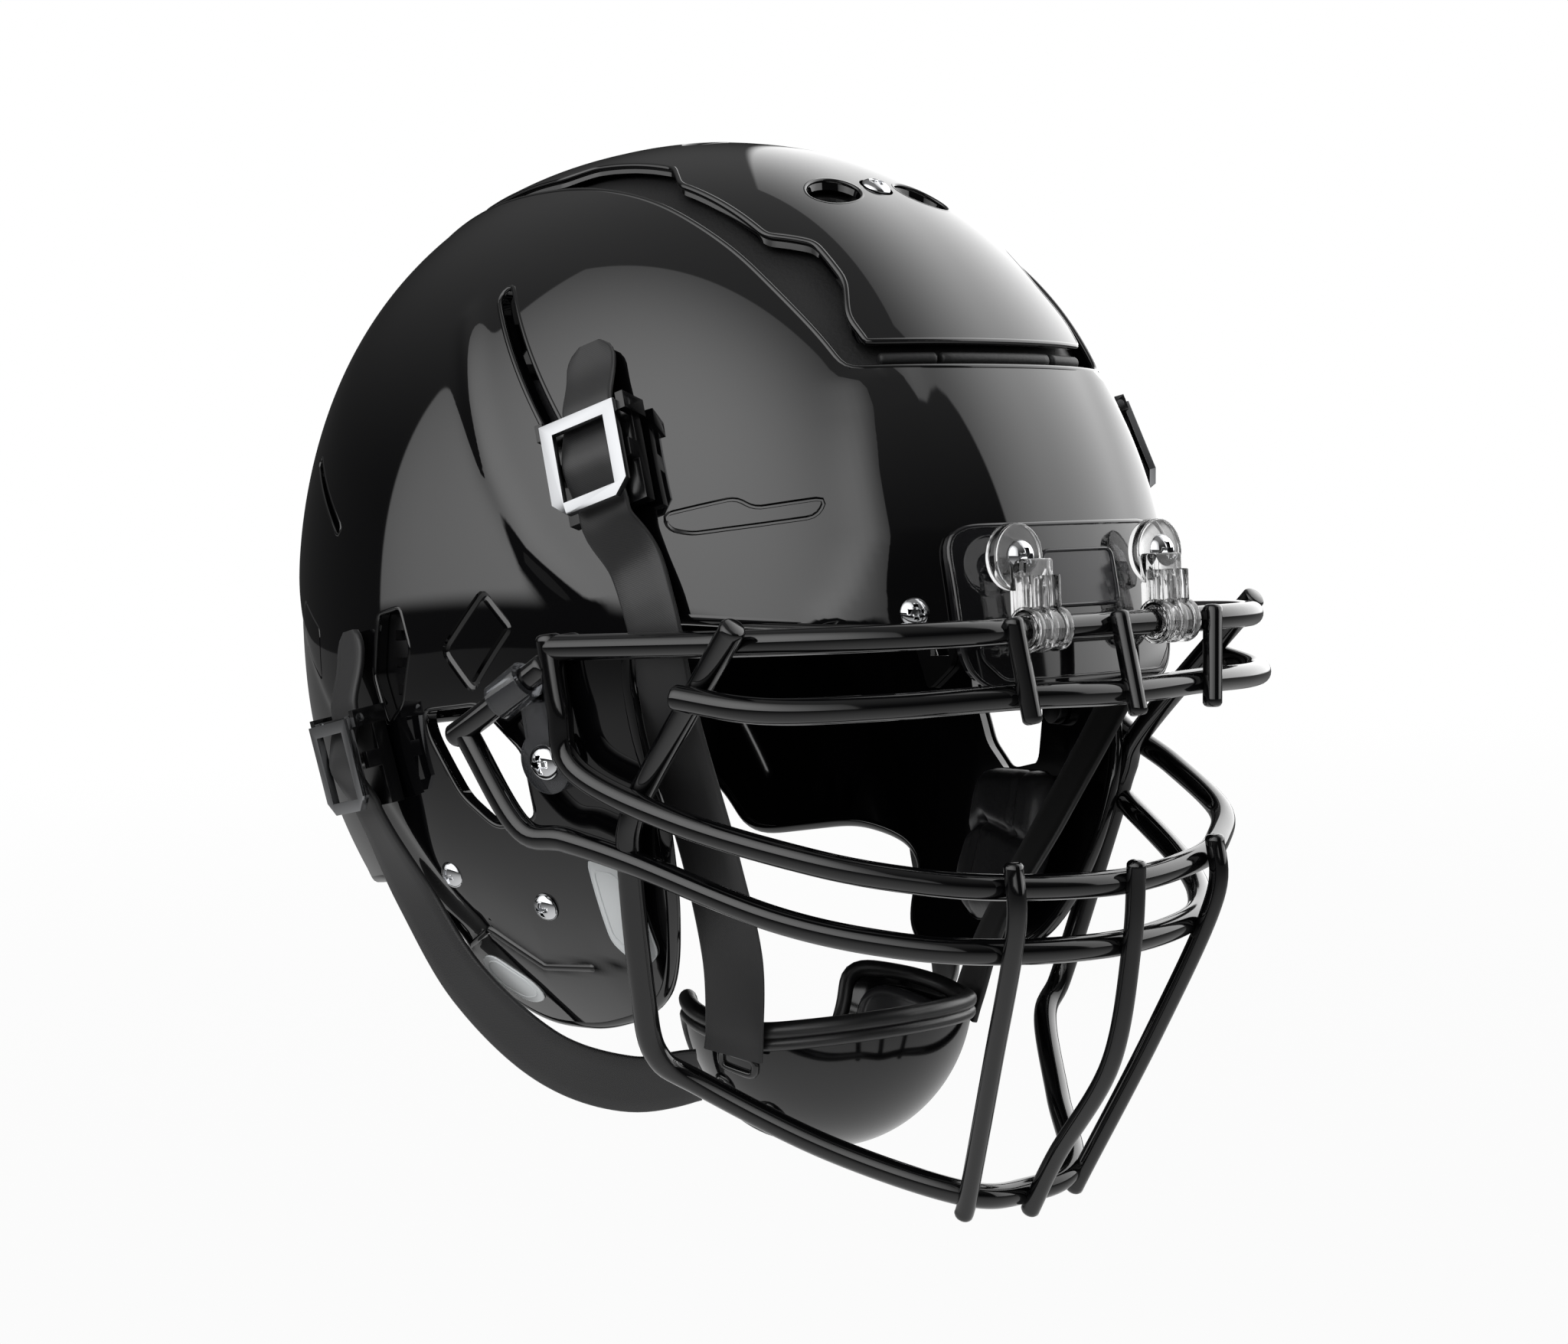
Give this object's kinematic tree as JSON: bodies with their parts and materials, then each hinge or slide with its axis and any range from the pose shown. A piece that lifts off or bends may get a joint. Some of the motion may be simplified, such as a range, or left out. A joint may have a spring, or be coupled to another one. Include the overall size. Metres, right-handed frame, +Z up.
{
  "type": "american football helmet",
  "caption": "Hard-shell football helmet with hinged wire face guard, floating crown plate, padded liner, chin cup and four buckled straps.",
  "frame": {"origin": "centre of the head cavity, where the wearer's head sits", "axes": "-Y points forward through the face opening, +X to the wearer's left, +Z up"},
  "size_m": [0.2544, 0.3316, 0.32],
  "materials": {
    "shell_gloss": "gloss",
    "gasket_rubber": "matte",
    "chrome_hardware": "polished",
    "bumper_smoke": "gloss",
    "blank_plate": "satin",
    "clear_clip": "clear polished",
    "smoke_clip": "smoked clear",
    "silver_badge": "satin",
    "black_fittings": "satin",
    "guard_coating": "gloss",
    "buckle_plastic": "satin",
    "chrome_buckle": "polished",
    "webbing": "satin weave",
    "cup_gloss": "gloss",
    "cup_rubber": "satin",
    "pad_skin": "satin"
  },
  "bodies": {
    "helmet": {"shell": "shell_gloss", "crown_gasket": "gasket_rubber", "crown_plate_screws": "chrome_hardware", "brow_bumper": "bumper_smoke", "nameplate": "blank_plate", "top_clip_right": "clear_clip", "top_clip_left": "clear_clip", "top_clip_screws": "chrome_hardware", "brow_screws": "chrome_hardware", "jaw_screws": "chrome_hardware", "jaw_badges": "silver_badge", "model_badges": "silver_badge", "side_clip_nuts": "black_fittings", "rear_vent_inserts": "black_fittings", "nape_bumper": "black_fittings", "nape_bumper_screws": "chrome_hardware", "air_valves": "black_fittings", "snap_studs": "chrome_hardware", "buckle_base_upper_right": "buckle_plastic", "buckle_base_upper_left": "buckle_plastic", "buckle_base_lower_right": "buckle_plastic", "buckle_base_lower_left": "buckle_plastic", "strap_upper_right": "webbing", "strap_upper_left": "webbing", "strap_lower_right": "webbing", "strap_lower_left": "webbing", "front_pad": "pad_skin", "crown_pad": "pad_skin", "side_pad_right": "pad_skin", "side_pad_left": "pad_skin", "back_pad": "pad_skin", "nape_pad": "pad_skin", "jaw_pad_right": "pad_skin", "jaw_pad_left": "pad_skin"},
    "crown_plate": {"crown_plate": "shell_gloss"},
    "face_guard": {"guard_top_bar": "guard_coating", "guard_brow_bar": "guard_coating", "guard_upper_mouth_bar": "guard_coating", "guard_lower_mouth_bar": "guard_coating", "guard_chin_wire": "guard_coating", "guard_brow_struts": "guard_coating", "guard_front_wires": "guard_coating", "guard_side_stubs": "guard_coating", "side_clip_right": "smoke_clip", "side_clip_left": "smoke_clip", "side_clip_screws": "chrome_hardware"},
    "chin_cup": {"chin_cup": "cup_gloss", "chin_cup_rim": "cup_rubber", "chin_cup_pad": "pad_skin"},
    "buckle_upper_right": {"buckle_frame_upper_right": "chrome_buckle"},
    "buckle_upper_left": {"buckle_frame_upper_left": "chrome_buckle"},
    "buckle_lower_right": {"buckle_frame_lower_right": "chrome_buckle"},
    "buckle_lower_left": {"buckle_frame_lower_left": "chrome_buckle"}
  },
  "joints": [
    {"name": "crown_plate_press", "type": "slide", "parent": "helmet", "child": "crown_plate", "axis": [0, 0, -1], "range_m": [0, 0.002], "stiffness_N_per_m": 6000},
    {"name": "face_guard_swing", "type": "hinge", "parent": "helmet", "child": "face_guard", "pos_m": [0, -0.156, 0.0113], "axis": [-1, 0, 0], "range_deg": [0, 75]},
    {"name": "chin_cup_drop", "type": "slide", "parent": "helmet", "child": "chin_cup", "axis": [0, 0, -1], "range_m": [0, 0.02], "deforming": ["strap_upper_right", "strap_upper_left", "strap_lower_right", "strap_lower_left"]},
    {"name": "buckle_upper_right_lever", "type": "hinge", "parent": "helmet", "child": "buckle_upper_right", "pos_m": [-0.1021, -0.06217, 0.07307], "axis": [-0.39, 0.8758, -0.2843], "range_deg": [0, 50]},
    {"name": "buckle_upper_left_lever", "type": "hinge", "parent": "helmet", "child": "buckle_upper_left", "pos_m": [0.1021, -0.06217, 0.07307], "axis": [-0.39, -0.8758, 0.2843], "range_deg": [0, 50]},
    {"name": "buckle_lower_right_lever", "type": "hinge", "parent": "helmet", "child": "buckle_lower_right", "pos_m": [-0.12211, 0.03866, -0.00945], "axis": [0.0934, 0.9861, -0.1376], "range_deg": [0, 50]},
    {"name": "buckle_lower_left_lever", "type": "hinge", "parent": "helmet", "child": "buckle_lower_left", "pos_m": [0.12211, 0.03866, -0.00945], "axis": [0.0934, -0.9861, 0.1376], "range_deg": [0, 50]}
  ]
}
